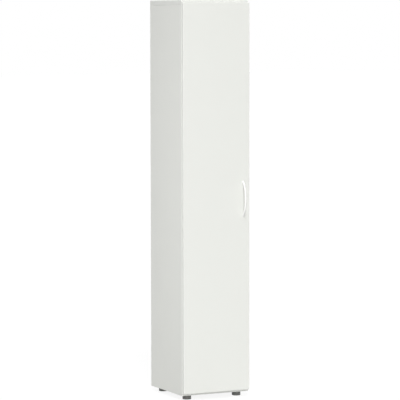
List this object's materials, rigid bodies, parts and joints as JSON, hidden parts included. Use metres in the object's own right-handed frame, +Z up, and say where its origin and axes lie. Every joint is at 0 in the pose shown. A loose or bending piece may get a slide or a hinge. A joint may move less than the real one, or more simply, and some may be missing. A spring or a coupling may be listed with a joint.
{
  "type": "office cupboard",
  "caption": "Tall narrow white office cupboard with a single hinged door, a bow handle, inner shelves and short round levelling feet.",
  "frame": {"origin": "on the floor, at the bottom centre of the cupboard's bounding box, handle included", "axes": "+Z up, +X to the right seen from the front, the door faces -Y"},
  "size_m": [0.4, 0.4544, 2.16],
  "materials": {
    "white_board": "white melamine on chipboard, satin",
    "white_back_board": "white lacquered fibreboard",
    "white_door": "white melamine on chipboard, satin",
    "white_handle": "white, satin gloss",
    "nickel_steel": "nickel plated",
    "nickel_cup": "nickel plated",
    "zinc_steel": "zinc plated",
    "dark_grey_plastic": "matt moulded",
    "white_plastic": "satin moulded",
    "clear_grey_rubber": "soft, translucent grey"
  },
  "bodies": {
    "carcass": {"back_panel": "white_back_board", "bottom_panel": "white_board", "foot_cap_back_left": "white_plastic", "foot_cap_back_right": "white_plastic", "foot_cap_front_left": "white_plastic", "foot_cap_front_right": "white_plastic", "foot_insert_back_left": "zinc_steel", "foot_insert_back_right": "zinc_steel", "foot_insert_front_left": "zinc_steel", "foot_insert_front_right": "zinc_steel", "hinge_arm_1": "nickel_steel", "hinge_arm_2": "nickel_steel", "hinge_arm_3": "nickel_steel", "hinge_arm_4": "nickel_steel", "hinge_plate_1": "nickel_steel", "hinge_plate_2": "nickel_steel", "hinge_plate_3": "nickel_steel", "hinge_plate_4": "nickel_steel", "shelf_1": "white_board", "shelf_2": "white_board", "shelf_3": "white_board", "shelf_4": "white_board", "shelf_5": "white_board", "shelf_pin_1_back_left": "nickel_steel", "shelf_pin_1_back_right": "nickel_steel", "shelf_pin_1_front_left": "nickel_steel", "shelf_pin_1_front_right": "nickel_steel", "shelf_pin_2_back_left": "nickel_steel", "shelf_pin_2_back_right": "nickel_steel", "shelf_pin_2_front_left": "nickel_steel", "shelf_pin_2_front_right": "nickel_steel", "shelf_pin_4_back_left": "nickel_steel", "shelf_pin_4_back_right": "nickel_steel", "shelf_pin_4_front_left": "nickel_steel", "shelf_pin_4_front_right": "nickel_steel", "shelf_pin_5_back_left": "nickel_steel", "shelf_pin_5_back_right": "nickel_steel", "shelf_pin_5_front_left": "nickel_steel", "shelf_pin_5_front_right": "nickel_steel", "side_panel_left": "white_board", "side_panel_right": "white_board", "top_panel": "white_board"},
    "door": {"door_panel": "white_door", "door_stop_lower": "clear_grey_rubber", "door_stop_upper": "clear_grey_rubber", "handle": "white_handle", "handle_screw_lower": "zinc_steel", "handle_screw_upper": "zinc_steel", "hinge_cup_1": "nickel_cup", "hinge_cup_2": "nickel_cup", "hinge_cup_3": "nickel_cup", "hinge_cup_4": "nickel_cup"},
    "pad_front_left": {"foot_pad_front_left": "dark_grey_plastic"},
    "spindle_front_left": {"foot_spindle_front_left": "zinc_steel"},
    "pad_front_right": {"foot_pad_front_right": "dark_grey_plastic"},
    "spindle_front_right": {"foot_spindle_front_right": "zinc_steel"},
    "pad_back_left": {"foot_pad_back_left": "dark_grey_plastic"},
    "spindle_back_left": {"foot_spindle_back_left": "zinc_steel"},
    "pad_back_right": {"foot_pad_back_right": "dark_grey_plastic"},
    "spindle_back_right": {"foot_spindle_back_right": "zinc_steel"}
  },
  "joints": [
    {"name": "door_swing", "type": "hinge", "parent": "carcass", "child": "door", "pos_m": [-0.1919, -0.18385, 1.0925], "axis": [0, 0, -1], "range_deg": [0, 100]},
    {"name": "foot_slide_front_left", "type": "slide", "parent": "carcass", "child": "pad_front_left", "axis": [0, 0, -1], "range_m": [0, 0.012]},
    {"name": "foot_screw_front_left", "type": "hinge", "parent": "pad_front_left", "child": "spindle_front_left", "pos_m": [-0.15, -0.12775, 0.02], "axis": [0, 0, -1], "range_deg": [0, 2880]},
    {"name": "foot_slide_front_right", "type": "slide", "parent": "carcass", "child": "pad_front_right", "axis": [0, 0, -1], "range_m": [0, 0.012]},
    {"name": "foot_screw_front_right", "type": "hinge", "parent": "pad_front_right", "child": "spindle_front_right", "pos_m": [0.15, -0.12775, 0.02], "axis": [0, 0, -1], "range_deg": [0, 2880]},
    {"name": "foot_slide_back_left", "type": "slide", "parent": "carcass", "child": "pad_back_left", "axis": [0, 0, -1], "range_m": [0, 0.012]},
    {"name": "foot_screw_back_left", "type": "hinge", "parent": "pad_back_left", "child": "spindle_back_left", "pos_m": [-0.15, 0.17725, 0.02], "axis": [0, 0, -1], "range_deg": [0, 2880]},
    {"name": "foot_slide_back_right", "type": "slide", "parent": "carcass", "child": "pad_back_right", "axis": [0, 0, -1], "range_m": [0, 0.012]},
    {"name": "foot_screw_back_right", "type": "hinge", "parent": "pad_back_right", "child": "spindle_back_right", "pos_m": [0.15, 0.17725, 0.02], "axis": [0, 0, -1], "range_deg": [0, 2880]}
  ],
  "couplings": [
    {"joint": "foot_screw_front_left", "follows": "foot_slide_front_left", "rad_per_m": 4188.8},
    {"joint": "foot_screw_front_right", "follows": "foot_slide_front_right", "rad_per_m": 4188.8},
    {"joint": "foot_screw_back_left", "follows": "foot_slide_back_left", "rad_per_m": 4188.8},
    {"joint": "foot_screw_back_right", "follows": "foot_slide_back_right", "rad_per_m": 4188.8}
  ]
}
